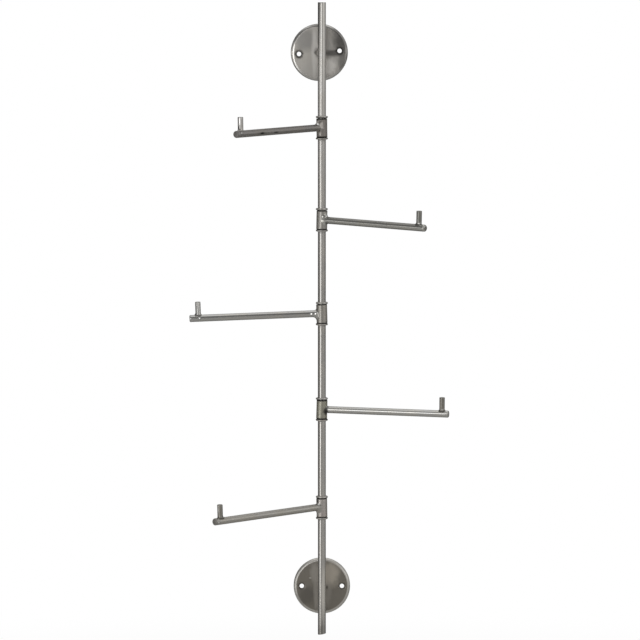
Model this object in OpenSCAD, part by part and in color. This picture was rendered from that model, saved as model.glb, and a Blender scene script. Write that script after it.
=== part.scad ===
// Wall coat rack: an upright steel tube on two round wall rosettes, with five swivel arms.
// The wall is the plane y = 0 and the rack stands out from it towards -y. +z is up.
// The origin is the centre of the bottom rosette, on the wall.

/* [Pole] */
// Length of the upright tube, at its longer side
pole_length = 1000; // [930:1:1200]
// Outside diameter of the tube
pole_d = 12.7; // [11:0.1:16]
// Wall of the tube
pole_wall = 1.5; // [0.8:0.1:2.5]
// Distance from the wall to the axis of the tube
pole_gap = 35; // [30:0.5:60]
// How far the tube hangs below the centre of the bottom rosette
pole_below = 73; // [50:0.5:100]
// How far the tube stands above the centre of the top rosette
pole_above = 78.5; // [50:0.5:110]
// Slant of the sawn bottom end, in degrees
foot_slant = 9; // [0:0.5:15]

/* [Rosettes] */
// Diameter of a rosette
rosette_d = 90; // [80:1:110]
// Depth of a rosette, from the wall to its face
rosette_depth = 7; // [6.5:0.5:12]
// Thickness of the pressed sheet
sheet = 2; // [1.5:0.1:2]
// Outside radius of the rosette's shoulder
shoulder_r = 5; // [3:0.5:6]
// Turn of the top rosette about its centre, in degrees
top_turn = 4.5; // [-10:0.5:10]
// How far the top rosette sits to the left of the tube
top_shift = 4; // [0:0.1:5]

/* [Wall screw holes] */
// Distance between the two holes of a rosette
hole_spacing = 64; // [58:1:66]
// Diameter of a hole
hole_d = 7; // [5:0.1:7.5]
// Diameter of the pressed dimple at the face
dimple_d = 11.6; // [10:0.1:13]
// Depth of the dimple
dimple_depth = 1.6; // [1:0.1:2]

/* [Standoffs] */
// Diameter of a standoff bar
standoff_d = 12; // [11:0.1:14]
// Diameter of the screw that holds a rosette to its standoff
screw_d = 6; // [5:0.5:6]
// Depth of the tapped hole in a standoff
tap_depth = 12; // [8:0.5:14]
// Height of the screw's button head
head_h = 3; // [2:0.1:3.2]
// Diameter of the screw's head
head_d = 10.5; // [9:0.1:12]
// Width across the flats of the hexagon socket
socket_flats = 4; // [3:0.5:4.5]
// Thickness of the washer
washer_h = 1.2; // [0.8:0.1:1.2]
// Diameter of the washer
washer_d = 13; // [11:0.1:16]

/* [Collars] */
// Thickness of the round wire that a collar is bent from
collar_wire = 3.2; // [2.8:0.1:4.5]
// How far the braze between collar and tube climbs past the wire
collar_braze = 0.6; // [0.2:0.1:1.5]
// Play of a sleeve between its two collars
end_play = 0.4; // [0.3:0.1:3]

/* [Sleeves] */
// Length of a swivel sleeve
sleeve_length = 29.4; // [24:0.1:40]
// Wall of a sleeve
sleeve_wall = 1.7; // [1.2:0.1:3]
// Play of a sleeve's bore on the tube, across the diameter
sleeve_play = 1; // [0.4:0.05:1.4]
// Radius of a sleeve's outer edges
sleeve_edge = 0.5; // [0.3:0.1:1.1]

/* [Arms] */
// Diameter of an arm's rod
rod_d = 11; // [9.5:0.1:12]
// Radius of the rod's rounded end
rod_edge = 1.8; // [0.5:0.1:3]
// Radius of the brazed fillet between rod and sleeve
rod_braze = 2.8; // [1:0.1:4]
// Diameter of the upright peg
peg_d = 8.5; // [6:0.1:9]
// Rise of the peg above the rod
peg_rise = 20.5; // [12:0.5:40]
// Distance along the rod from the tube's axis to the peg's axis
peg_reach = 194.6; // [120:0.5:197]
// Radius of the peg's top edge
peg_edge = 0.8; // [0.3:0.1:2]
// Radius of the brazed fillet at the peg's foot
peg_braze = 1; // [0.3:0.1:2]

/* [Arm 1, the top one, to the left] */
// Height of the sleeve's middle above the bottom rosette
arm_1_height = 731; // [700:0.5:750]
// Swing out from the wall, in degrees
arm_1_swing = 50.5; // [0:0.5:90]
// Reach from the tube's axis to the end of the rod
arm_1_reach = 207; // [204:0.5:300]
// How far the rod's axis sits below the sleeve's middle
arm_1_drop = -0.5; // [-3:0.1:3]
// How far the rod droops from square with its sleeve, in degrees
arm_1_droop = -0.2; // [-2:0.1:2]

/* [Arm 2, to the right] */
// Height of the sleeve's middle above the bottom rosette
arm_2_height = 586.5; // [560:0.5:640]
// Swing out from the wall, in degrees
arm_2_swing = 40; // [0:0.5:90]
// Reach from the tube's axis to the end of the rod
arm_2_reach = 207.5; // [204:0.5:300]
// How far the rod's axis sits below the sleeve's middle
arm_2_drop = 0; // [-3:0.1:3]
// How far the rod droops from square with its sleeve, in degrees
arm_2_droop = -0.3; // [-2:0.1:2]

/* [Arm 3, to the left] */
// Height of the sleeve's middle above the bottom rosette
arm_3_height = 438.5; // [410:0.5:490]
// Swing out from the wall, in degrees
arm_3_swing = 3.5; // [0:0.5:90]
// Reach from the tube's axis to the end of the rod
arm_3_reach = 208.5; // [204:0.5:300]
// How far the rod's axis sits below the sleeve's middle
arm_3_drop = -0.5; // [-3:0.1:3]
// How far the rod droops from square with its sleeve, in degrees
arm_3_droop = 0.4; // [-2:0.1:2]

/* [Arm 4, to the right] */
// Height of the sleeve's middle above the bottom rosette
arm_4_height = 287; // [260:0.5:340]
// Swing out from the wall, in degrees
arm_4_swing = 15; // [0:0.5:90]
// Reach from the tube's axis to the end of the rod
arm_4_reach = 205.5; // [204:0.5:300]
// How far the rod's axis sits below the sleeve's middle
arm_4_drop = 0.2; // [-3:0.1:3]
// How far the rod droops from square with its sleeve, in degrees
arm_4_droop = -1.2; // [-2:0.1:2]

/* [Arm 5, the bottom one, to the left] */
// Height of the sleeve's middle above the bottom rosette
arm_5_height = 130.5; // [110:0.5:190]
// Swing out from the wall, in degrees
arm_5_swing = 36; // [0:0.5:90]
// Reach from the tube's axis to the end of the rod
arm_5_reach = 207; // [204:0.5:300]
// How far the rod's axis sits below the sleeve's middle
arm_5_drop = -1.2; // [-3:0.1:3]
// How far the rod droops from square with its sleeve, in degrees
arm_5_droop = 0.2; // [-2:0.1:2]

/* [Hidden] */
$fn = 96;
left = 180;
right = 0;
pole_r = pole_d / 2;
rosette_r = rosette_d / 2;
// Height of the top rosette above the bottom one
rosette_spacing = pole_length - pole_below - pole_above;
hole_r = hole_d / 2;
rod_r = rod_d / 2;
peg_r = peg_d / 2;
bore_r = pole_r + sleeve_play / 2;
sleeve_r = bore_r + sleeve_wall;

// The sleeve hangs as far as its play lets it, less a film of clearance at both ends of the bore
film = 0.1;
sag = asin((sleeve_play - 2 * film) / sleeve_length);
sleeve_half = sleeve_length / 2 * cos(sag) + (sleeve_r - sleeve_edge) * sin(sag);
collar_reach = sleeve_half + film;

// Brazed fillets end inside the round that they grow from
braze_margin = 0.2;
rod_root_r = min(rod_r + rod_braze, sleeve_r - braze_margin);
rod_root = rod_root_r - rod_r;
peg_root_r = min(peg_r + peg_braze, rod_r - braze_margin);
peg_root = peg_root_r - peg_r;

thread_clearance = 0.1;
washer_clearance = 0.2;
hex_corner = 1 / cos(180 / 6);
socket_depth = head_h * 0.6;
dimple_wall = sheet * 0.5;
collar_web = collar_wire * 0.15;
past = 1;

// Half outline of a round bar of radius r and height h whose top edge is rounded by e
module bar_outline(r, h, e) {
    square([r - e, h]);
    square([r, h - e]);
    translate([r - e, h - e]) intersection() {
        circle(r = e);
        square(e);
    }
}

// Half outline of a fillet of radius e that widens a bar of radius r downwards from height h
module root_outline(r, h, e) {
    difference() {
        square([r + e, h]);
        translate([r + e, h]) circle(r = e);
    }
}

// Turns a shape that is drawn with its axis up so that it faces away from the wall
module from_wall(height, shift) {
    translate([-shift, 0, height]) rotate([90, 0, 0]) children();
}

// The tube stands square on top and is sawn off slanting at the bottom
module pole() {
    color("#8f8a84")
    translate([0, -pole_gap, -pole_below])
    difference() {
        cylinder(h = pole_length, r = pole_r);
        translate([0, 0, -past]) cylinder(h = pole_length + 2 * past, r = pole_r - pole_wall);
        translate([-pole_r, 0, 0]) rotate([0, -foot_slant, 0])
            translate([-pole_d, -pole_d, -pole_d]) cube([3 * pole_d, 2 * pole_d, pole_d]);
    }
}

// A pressed sheet cup, open to the wall, with two dimpled holes and one for its own screw
module rosette(turn) {
    difference() {
        union() {
            rotate_extrude() difference() {
                bar_outline(rosette_r, rosette_depth, shoulder_r);
                bar_outline(rosette_r - sheet, rosette_depth - sheet, shoulder_r - sheet);
            }
            rosette_holes(turn) translate([0, 0, rosette_depth - sheet - dimple_depth])
                cylinder(h = dimple_depth + sheet / 2, r1 = hole_r + sheet, r2 = dimple_d / 2 + dimple_wall);
        }
        rosette_holes(turn) {
            translate([0, 0, rosette_depth - dimple_depth])
                cylinder(h = dimple_depth, r1 = hole_r, r2 = dimple_d / 2);
            cylinder(h = rosette_depth, r = hole_r);
        }
        cylinder(h = rosette_depth + past, r = screw_d / 2 + thread_clearance);
    }
}

module rosette_holes(turn) {
    for (side = [left, right]) rotate(turn + side) translate([hole_spacing / 2, 0, 0]) children();
}

module top_rosette() {
    color("#9a958f") from_wall(rosette_spacing, top_shift) rosette(top_turn);
}

module bottom_rosette() {
    color("#837e77") from_wall(0, 0) rosette(0);
}

// A bar from the rosette's face to the back of the tube, cut to its round; the shifted one leans
module standoff(height, shift) {
    face = pole_gap - rosette_depth;
    lean = atan(shift / face);
    color("#8a857e")
    difference() {
        translate([0, -pole_gap, height]) rotate([0, 0, lean])
            rotate([-90, 0, 0]) cylinder(h = face / cos(lean) + standoff_d, r = standoff_d / 2);
        translate([0, -pole_gap, height - standoff_d]) cylinder(h = 2 * standoff_d, r = pole_r);
        translate([-shift - 2 * standoff_d, -rosette_depth, height - standoff_d])
            cube([4 * standoff_d, 2 * standoff_d, 2 * standoff_d]);
        from_wall(height, shift) cylinder(h = rosette_depth + tap_depth, r = screw_d / 2);
    }
}

module top_standoff() {
    standoff(rosette_spacing, top_shift);
}

module bottom_standoff() {
    standoff(0, 0);
}

// The screw comes from inside the cup, through the washer and the sheet, into the standoff
module rosette_screw(height, shift) {
    seat = rosette_depth - sheet - washer_h;
    color("#b4b2ad")
    from_wall(height, shift)
    difference() {
        union() {
            translate([0, 0, seat]) mirror([0, 0, 1])
                rotate_extrude() bar_outline(head_d / 2, head_h, head_h * 0.7);
            translate([0, 0, seat - head_h / 2])
                cylinder(h = head_h / 2 + washer_h + sheet + tap_depth - past, r = screw_d / 2 - thread_clearance);
        }
        translate([0, 0, seat - head_h - past])
            cylinder(h = socket_depth + past, r = socket_flats / 2 * hex_corner, $fn = 6);
    }
}

module top_screw() {
    rosette_screw(rosette_spacing, top_shift);
}

module bottom_screw() {
    rosette_screw(0, 0);
}

module washer(height, shift) {
    color("#b4b2ad")
    from_wall(height, shift) translate([0, 0, rosette_depth - sheet - washer_h])
    difference() {
        cylinder(h = washer_h, r = washer_d / 2);
        translate([0, 0, -past])
            cylinder(h = washer_h + 2 * past, r = screw_d / 2 + washer_clearance);
    }
}

module top_washer() {
    washer(rosette_spacing, top_shift);
}

module bottom_washer() {
    washer(0, 0);
}

// A ring of round wire on the tube. The braze fills its inner corners, and climbs the tube on the
// side away from the sleeve
module collar() {
    wire_r = collar_wire / 2;
    climb = wire_r + collar_braze;
    rotate_extrude() difference() {
        union() {
            translate([pole_r + wire_r, wire_r]) circle(r = wire_r);
            translate([0, collar_web]) square([pole_r + wire_r, wire_r - collar_web]);
            translate([0, wire_r]) root_outline(pole_r, climb, climb);
        }
        translate([-past, -past]) square([pole_r + past, collar_wire + collar_braze + 2 * past]);
    }
}

module upper_collar(height) {
    color("#948f88")
    translate([0, -pole_gap, height + collar_reach + end_play]) collar();
}

module lower_collar(height) {
    color("#948f88")
    translate([0, -pole_gap, height - collar_reach]) mirror([0, 0, 1]) collar();
}

// Puts an arm's piece on the tube: +x runs along the arm, and the far end hangs by the sag
module on_tube(height, side, swing) {
    plan = side == left ? left + swing : -swing;
    translate([0, -pole_gap, height]) rotate([0, 0, plan]) rotate([0, sag, 0]) children();
}

// A short tube that turns on the pole
module sleeve(height, side, swing) {
    color("#8c8780")
    on_tube(height, side, swing)
    difference() {
        translate([0, 0, -sleeve_length / 2]) rotate_extrude() difference() {
            intersection() {
                bar_outline(sleeve_r, sleeve_length, sleeve_edge);
                translate([0, sleeve_length]) mirror([0, 1])
                    bar_outline(sleeve_r, sleeve_length, sleeve_edge);
            }
            translate([-past, -past]) square([bore_r + past, sleeve_length + 2 * past]);
        }
    }
}

// Puts what sits on a rod in the rod's own line: +x runs along its axis
module on_rod(drop, droop) {
    translate([0, 0, -drop]) rotate([0, droop, 0]) children();
}

// A round bar, cut to the sleeve's round and brazed to it
module rod(height, side, swing, reach, drop, droop) {
    color("#8f8a84")
    on_tube(height, side, swing)
    difference() {
        on_rod(drop, droop) rotate([0, 90, 0]) rotate_extrude() {
            bar_outline(rod_r, reach, rod_edge);
            root_outline(rod_r, sleeve_r + rod_root, rod_root);
        }
        translate([0, 0, -sleeve_length]) cylinder(h = 2 * sleeve_length, r = sleeve_r);
    }
}

// A short upright bar, cut to the rod's round and brazed on top of it
module peg(height, side, swing, reach, drop, droop) {
    color("#8f8a84")
    on_tube(height, side, swing) on_rod(drop, droop)
    difference() {
        translate([peg_reach, 0, 0]) rotate_extrude() {
            bar_outline(peg_r, rod_r + peg_rise, peg_edge);
            root_outline(peg_r, rod_r + peg_root, peg_root);
        }
        rotate([0, 90, 0]) cylinder(h = reach + past, r = rod_r);
    }
}

pole();
top_rosette();
top_standoff();
top_screw();
top_washer();
bottom_rosette();
bottom_standoff();
bottom_screw();
bottom_washer();

upper_collar(arm_1_height);  // arm_1_upper_collar
lower_collar(arm_1_height);  // arm_1_lower_collar
sleeve(arm_1_height, left, arm_1_swing);  // arm_1_sleeve
rod(arm_1_height, left, arm_1_swing, arm_1_reach, arm_1_drop, arm_1_droop);  // arm_1_rod
peg(arm_1_height, left, arm_1_swing, arm_1_reach, arm_1_drop, arm_1_droop);  // arm_1_peg

upper_collar(arm_2_height);  // arm_2_upper_collar
lower_collar(arm_2_height);  // arm_2_lower_collar
sleeve(arm_2_height, right, arm_2_swing);  // arm_2_sleeve
rod(arm_2_height, right, arm_2_swing, arm_2_reach, arm_2_drop, arm_2_droop);  // arm_2_rod
peg(arm_2_height, right, arm_2_swing, arm_2_reach, arm_2_drop, arm_2_droop);  // arm_2_peg

upper_collar(arm_3_height);  // arm_3_upper_collar
lower_collar(arm_3_height);  // arm_3_lower_collar
sleeve(arm_3_height, left, arm_3_swing);  // arm_3_sleeve
rod(arm_3_height, left, arm_3_swing, arm_3_reach, arm_3_drop, arm_3_droop);  // arm_3_rod
peg(arm_3_height, left, arm_3_swing, arm_3_reach, arm_3_drop, arm_3_droop);  // arm_3_peg

upper_collar(arm_4_height);  // arm_4_upper_collar
lower_collar(arm_4_height);  // arm_4_lower_collar
sleeve(arm_4_height, right, arm_4_swing);  // arm_4_sleeve
rod(arm_4_height, right, arm_4_swing, arm_4_reach, arm_4_drop, arm_4_droop);  // arm_4_rod
peg(arm_4_height, right, arm_4_swing, arm_4_reach, arm_4_drop, arm_4_droop);  // arm_4_peg

upper_collar(arm_5_height);  // arm_5_upper_collar
lower_collar(arm_5_height);  // arm_5_lower_collar
sleeve(arm_5_height, left, arm_5_swing);  // arm_5_sleeve
rod(arm_5_height, left, arm_5_swing, arm_5_reach, arm_5_drop, arm_5_droop);  // arm_5_rod
peg(arm_5_height, left, arm_5_swing, arm_5_reach, arm_5_drop, arm_5_droop);  // arm_5_peg
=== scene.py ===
import math

import bmesh
import bpy
from mathutils import Euler, Matrix, Vector


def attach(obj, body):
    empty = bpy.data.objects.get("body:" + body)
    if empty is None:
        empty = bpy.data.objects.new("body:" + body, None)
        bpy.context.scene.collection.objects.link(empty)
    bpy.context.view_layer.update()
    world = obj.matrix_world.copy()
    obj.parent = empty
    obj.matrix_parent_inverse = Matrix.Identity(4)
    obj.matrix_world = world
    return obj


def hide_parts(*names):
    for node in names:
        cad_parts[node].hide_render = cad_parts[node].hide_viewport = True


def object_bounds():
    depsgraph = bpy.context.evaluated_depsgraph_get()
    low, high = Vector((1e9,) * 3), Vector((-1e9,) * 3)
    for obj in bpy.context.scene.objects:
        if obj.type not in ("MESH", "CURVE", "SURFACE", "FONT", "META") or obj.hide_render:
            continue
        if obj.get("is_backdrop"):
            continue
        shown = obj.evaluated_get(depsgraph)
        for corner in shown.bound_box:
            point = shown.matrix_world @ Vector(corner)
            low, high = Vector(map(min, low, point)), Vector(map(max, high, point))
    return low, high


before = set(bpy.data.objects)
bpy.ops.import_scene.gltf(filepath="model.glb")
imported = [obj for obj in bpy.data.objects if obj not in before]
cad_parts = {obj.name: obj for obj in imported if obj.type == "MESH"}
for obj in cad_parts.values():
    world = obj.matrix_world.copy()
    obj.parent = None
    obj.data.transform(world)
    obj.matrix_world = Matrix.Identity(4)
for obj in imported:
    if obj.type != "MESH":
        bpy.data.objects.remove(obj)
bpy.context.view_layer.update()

scene = bpy.context.scene
mm = 0.001


# Pole: one metre of half-inch steel tube with a 1.5 mm wall. Drawn tube is never quite round,
# so its section wanders a little on the way up, and the streak of light on it with that.
# It is sawn square on top and on the slant at the foot.
pole_r = 6.35 * mm
pole_wall = 1.5 * mm
pole_y = -35 * mm
pole_top = 927 * mm
pole_foot = -73 * mm
foot_slant = math.radians(9)
same_place = 0.001 * mm  # points nearer than this are one


def settle(piece, place):
    """Puts each point of the selected rim where place says for its turn round the axis"""
    mesh = bmesh.from_edit_mesh(piece.data)
    turn = mesh.verts.layers.float["turn"]
    for point in mesh.verts:
        if point.select:
            point.co = place(point[turn])
    bmesh.update_edit_mesh(piece.data)


def first_rim(name, sides, place):
    """Starts a piece, left in edit mode, with one open rim whose points are where place says"""
    bpy.ops.object.select_all(action="DESELECT")
    bpy.ops.mesh.primitive_circle_add(vertices=sides, radius=pole_r, fill_type="NOTHING")
    piece = bpy.context.object
    piece.name = piece.data.name = name
    bpy.ops.object.mode_set(mode="EDIT")
    mesh = bmesh.from_edit_mesh(piece.data)
    turn = mesh.verts.layers.float.new("turn")
    for number, point in enumerate(mesh.verts):
        point[turn] = math.tau * number / sides
    settle(piece, place)
    return piece


def draw_out(piece, places):
    """Extrudes the selected open rim once for each place"""
    for place in places:
        bpy.ops.mesh.extrude_region()
        settle(piece, place)


def face_out():
    """Turns all faces outwards, and leaves edit mode"""
    bpy.ops.mesh.select_all(action="SELECT")
    bpy.ops.mesh.normals_make_consistent(inside=False)
    bpy.ops.object.mode_set(mode="OBJECT")


def join_ends():
    """Merges the last rim into the first, for a piece that is a closed round"""
    bpy.ops.mesh.select_all(action="SELECT")
    bpy.ops.mesh.remove_doubles(threshold=same_place)
    face_out()


def close_both():
    """Draws the last rim together, and fills the first one flat"""
    bpy.ops.mesh.merge(type="CENTER")
    bpy.ops.mesh.select_all(action="DESELECT")
    bpy.ops.mesh.select_non_manifold()
    bpy.ops.mesh.edge_face_add()
    face_out()


def pick(piece):
    """Selects this piece alone"""
    bpy.ops.object.select_all(action="DESELECT")
    piece.select_set(True)
    bpy.context.view_layer.objects.active = piece


def smooth(piece, angle=40):
    pick(piece)
    bpy.ops.object.shade_smooth_by_angle(angle=math.radians(angle))


def put_in_place(piece, matrix):
    """Moves the finished mesh to its place and leaves its object at the origin"""
    pick(piece)
    piece.matrix_world = matrix
    bpy.ops.object.transform_apply(location=True, rotation=True, scale=True)


def out_of_round(height, turn):
    """Share of the radius by which drawn tube is off its circle: oval, three-sided and wavy"""
    return (0.011 * math.cos(2 * (turn - 2.1 * math.sin(3.1 * height + 0.7)))
            + 0.005 * math.cos(3 * turn + 9 * height)
            + 0.003 * math.sin(41 * height))


def pole_rim(height, radius):
    def place(turn):
        r = radius * (1 + out_of_round(height, turn))
        return Vector((r * math.cos(turn), pole_y + r * math.sin(turn), height))
    return place


def foot_rim(radius, rise):
    """A rim on the slanting cut, or that far above it"""
    def place(turn):
        x, y, z = pole_rim(pole_foot, radius)(turn)
        return Vector((x, y, pole_foot + rise + (x + pole_r) * math.tan(foot_slant)))
    return place


burr = 0.25 * mm
burr_round = 0.08 * mm
foot_edge = 1.2 * mm
mouth_depth = 4 * mm
straight_foot = pole_foot + 6 * mm  # above the slant, below the mouth
straight_length = pole_top - 2 * mm - straight_foot
pole_steps = 90
bore_step = 10
heights = [straight_foot + straight_length * n / pole_steps for n in range(pole_steps + 1)]
pole_bore = pole_r - pole_wall
pole = first_rim("pole_tube", 96, foot_rim(pole_r, burr))
draw_out(pole, [foot_rim(pole_r, foot_edge)])
draw_out(pole, [pole_rim(height, pole_r) for height in heights])
draw_out(pole, [pole_rim(pole_top - burr, pole_r), pole_rim(pole_top - burr_round, pole_r - burr_round),
                pole_rim(pole_top, pole_r - burr), pole_rim(pole_top, pole_bore + burr),
                pole_rim(pole_top - burr, pole_bore), pole_rim(pole_top - mouth_depth, pole_bore)])
draw_out(pole, [pole_rim(height, pole_bore) for height in heights[::-bore_step]])
draw_out(pole, [foot_rim(pole_bore, burr), foot_rim(pole_bore + burr, 0), foot_rim(pole_r - burr, 0),
                foot_rim(pole_r, burr)])
join_ends()
smooth(pole)


def group_of(name, vectors, values, outputs):
    """An empty node group that takes the named vectors and values, and puts out values"""
    group = bpy.data.node_groups.new(name, "ShaderNodeTree")
    for label in vectors:
        group.interface.new_socket(label, in_out="INPUT", socket_type="NodeSocketVector")
    for label, value in values.items():
        made = group.interface.new_socket(label, in_out="INPUT", socket_type="NodeSocketFloat")
        made.default_value = value
    for label in outputs:
        group.interface.new_socket(label, in_out="OUTPUT", socket_type="NodeSocketFloat")
    return group, group.nodes.new("NodeGroupInput"), group.nodes.new("NodeGroupOutput")


def node(tree, kind, links=(), **settings):
    """Adds a node, sets what is named, and links its inputs by number or name"""
    made = tree.nodes.new(kind)
    for key, value in settings.items():
        setattr(made, key, value)
    for socket, value in dict(links).items():
        if isinstance(value, bpy.types.NodeSocket):
            tree.links.new(value, made.inputs[socket])
        else:
            made.inputs[socket].default_value = value
    return made


def maths(tree, operation, *values):
    return node(tree, "ShaderNodeMath", enumerate(values), operation=operation).outputs[0]


def ranged(tree, value, low, high, to_low=0.0, to_high=1.0):
    """Takes the range from low to high softly to the other range, and stops at its ends"""
    return node(tree, "ShaderNodeMapRange", {
        "Value": value, "From Min": low, "From Max": high, "To Min": to_low, "To Max": to_high},
        interpolation_type="SMOOTHSTEP").outputs[0]


def blend_colours(tree, share, first, second, blend_type="MIX"):
    return node(tree, "ShaderNodeMix", {0: share, 6: first, 7: second}, data_type="RGBA",
                blend_type=blend_type).outputs[2]


# Drawing and polishing leave long lines on the steel. Both run along x of the given vector.
drawn_lines, inside, outside = group_of("drawn_lines", ["Vector"], {"Length": 0.3}, ["Broad", "Fine"])
split = node(drawn_lines, "ShaderNodeSeparateXYZ", {0: inside.outputs["Vector"]})
lengthwise = maths(drawn_lines, "DIVIDE", split.outputs[0], inside.outputs["Length"])
for label, across, along_scale, detail in (("Broad", 230, 5, 1.0), ("Fine", 1600, 6, 2.0)):
    stretched = node(drawn_lines, "ShaderNodeCombineXYZ", {
        0: maths(drawn_lines, "MULTIPLY", lengthwise, along_scale),
        1: maths(drawn_lines, "MULTIPLY", split.outputs[1], across),
        2: maths(drawn_lines, "MULTIPLY", split.outputs[2], across)})
    streaks = node(drawn_lines, "ShaderNodeTexNoise", {
        "Vector": stretched.outputs[0], "Scale": 1.0, "Detail": detail, "Roughness": 0.55})
    drawn_lines.links.new(streaks.outputs["Fac"], outside.inputs[label])

# Bare steel is mottled: broad clouds of warmer and darker metal, and small specks of oxide
mottle, inside, outside = group_of("mottle", ["Vector"], {"Seed": 0.0}, ["Cloud", "Speck"])
for label, scale, detail, roughness, low, high in (("Cloud", 38.0, 3.0, 0.6, 0.35, 0.65),
                                                   ("Speck", 420.0, 2.0, 0.5, 0.66, 0.74)):
    patch = node(mottle, "ShaderNodeTexNoise", {
        "Vector": inside.outputs["Vector"], "W": inside.outputs["Seed"], "Scale": scale, "Detail": detail,
        "Roughness": roughness}, noise_dimensions="4D")
    mottle.links.new(ranged(mottle, patch.outputs["Fac"], low, high), outside.inputs[label])

# A single mark with a soft, ragged edge, as large as Size says each way
mark, inside, outside = group_of("mark", ["Vector", "Centre", "Size"], {}, ["Mask"])
offset = node(mark, "ShaderNodeVectorMath", {0: inside.outputs["Vector"], 1: inside.outputs["Centre"]},
              operation="SUBTRACT")
scaled = node(mark, "ShaderNodeVectorMath", {0: offset.outputs[0], 1: inside.outputs["Size"]},
              operation="DIVIDE")
far = node(mark, "ShaderNodeVectorMath", {0: scaled.outputs[0]}, operation="LENGTH")
ragged = node(mark, "ShaderNodeTexNoise", {"Vector": scaled.outputs[0], "Scale": 1.7, "Detail": 2.0})
ragged = maths(mark, "MULTIPLY", maths(mark, "SUBTRACT", ragged.outputs["Fac"], 0.5), 0.6)
mark.links.new(ranged(mark, maths(mark, "ADD", far.outputs["Value"], ragged), 1.15, 0.4),
               outside.inputs["Mask"])

# Near-black of the dull dark layers, which are mostly painted shade in gaps, creases and recesses
shade_and_soot = (0.02, 0.018, 0.016, 1)
rim_blend = 0.6 * mm


def steel(name, tone, lay, roughness, seed, broad=0.2, fine=0.02, line_length=0.6, clouds=0.5,
          marks=(), shade_and_grime=(), rim=None, facets=()):
    """Bare satin steel. Its pattern lies in the frame lay, with its lines along x, and broad and
    fine are their depths in mm. Each of marks is centre, size, strength and colour; many of these
    are painted highlights, reflections and shade. Each of the dull dark layers, given after the
    marks, is centre, size and strength, and most of them are painted shade in gaps, creases and
    recesses. The rim is the distance from the frame's y axis at which another colour and roughness
    begin, and these two. Each of facets is centre, radius and slope of a small flat on a bead, which leans
    towards x"""
    material = bpy.data.materials.new(name)
    material.use_nodes = True
    tree = material.node_tree
    shader = tree.nodes["Principled BSDF"]
    where = node(tree, "ShaderNodeMapping", {
        "Vector": node(tree, "ShaderNodeTexCoord").outputs["Object"], "Location": lay.to_translation(),
        "Rotation": lay.to_euler()}, vector_type="TEXTURE").outputs[0]
    lines = node(tree, "ShaderNodeGroup", node_tree=drawn_lines)
    tree.links.new(where, lines.inputs["Vector"])
    lines.inputs["Length"].default_value = line_length
    patches = node(tree, "ShaderNodeGroup", node_tree=mottle)
    tree.links.new(where, patches.inputs["Vector"])
    patches.inputs["Seed"].default_value = seed
    dark = tuple(value * 0.72 for value in tone) + (1,)
    warm = (tone[0] * 1.06, tone[1] * 1.03, tone[2] * 0.97, 1)
    colour = blend_colours(tree, maths(tree, "MULTIPLY", patches.outputs["Cloud"], clouds), tone + (1,), warm)
    colour = blend_colours(tree, ranged(tree, lines.outputs["Fine"], 0.5, 0.8, 0.0, 0.35), colour, dark)
    colour = blend_colours(tree, maths(tree, "MULTIPLY", patches.outputs["Speck"], 0.5), colour, dark)
    rough = maths(tree, "ADD", roughness, maths(tree, "MULTIPLY", lines.outputs["Fine"], 0.06))
    rough = maths(tree, "ADD", rough, maths(tree, "MULTIPLY", patches.outputs["Cloud"], 0.05))

    if rim:
        begins, rim_colour, rim_roughness = rim
        flat = node(tree, "ShaderNodeVectorMath", {0: where, 1: (1, 0, 1)}, operation="MULTIPLY")
        from_axis = node(tree, "ShaderNodeVectorMath", {0: flat.outputs[0]}, operation="LENGTH")
        past_rim = ranged(tree, from_axis.outputs["Value"], begins - rim_blend, begins + rim_blend)
        colour = blend_colours(tree, past_rim, colour, rim_colour)
        rough = maths(tree, "MULTIPLY_ADD", past_rim, rim_roughness - roughness, rough)

    def spot(centre, size, strength):
        made = node(tree, "ShaderNodeGroup", node_tree=mark)
        tree.links.new(where, made.inputs["Vector"])
        made.inputs["Centre"].default_value = centre
        made.inputs["Size"].default_value = size
        return maths(tree, "MULTIPLY", made.outputs["Mask"], strength)

    for centre, size, strength, mark_colour in marks:
        colour = blend_colours(tree, spot(centre, size, strength), colour, mark_colour)
    dull = None
    for layer in shade_and_grime:
        share = spot(*layer)
        dull = share if dull is None else maths(tree, "MAXIMUM", dull, share)
    if dull is None:
        shader.inputs["Metallic"].default_value = 1.0
    else:
        colour = blend_colours(tree, dull, colour, shade_and_soot)
        rough = maths(tree, "MULTIPLY_ADD", dull, 0.5, rough)
        tree.links.new(maths(tree, "MULTIPLY_ADD", dull, -0.9, 1.0), shader.inputs["Metallic"])

    height = maths(tree, "ADD", maths(tree, "MULTIPLY", lines.outputs["Broad"], broad),
                   maths(tree, "MULTIPLY", lines.outputs["Fine"], fine))
    for centre, radius, slope in facets:
        off = node(tree, "ShaderNodeVectorMath", {0: where, 1: centre}, operation="DISTANCE")
        cover = ranged(tree, off.outputs["Value"], radius, 0.2 * radius)
        along = maths(tree, "SUBTRACT", node(tree, "ShaderNodeSeparateXYZ", {0: where}).outputs[0], centre[0])
        height = maths(tree, "MULTIPLY_ADD", cover, maths(tree, "MULTIPLY", along, -slope / mm), height)
    bump = node(tree, "ShaderNodeBump", {"Height": height, "Strength": 1.0, "Distance": mm})
    tree.links.new(colour, shader.inputs["Base Color"])
    tree.links.new(rough, shader.inputs["Roughness"])
    tree.links.new(bump.outputs[0], shader.inputs["Normal"])
    return material


def hand_over(piece, body, cad_node, material):
    """Gives the piece its material, hangs it on the body it rides on, and hides the CAD part that it stands
    for
    """
    piece.data.materials.clear()
    piece.data.materials.append(material)
    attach(piece, body)
    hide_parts(cad_node)


def in_mm(*values):
    return tuple(value * mm for value in values)


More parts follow.
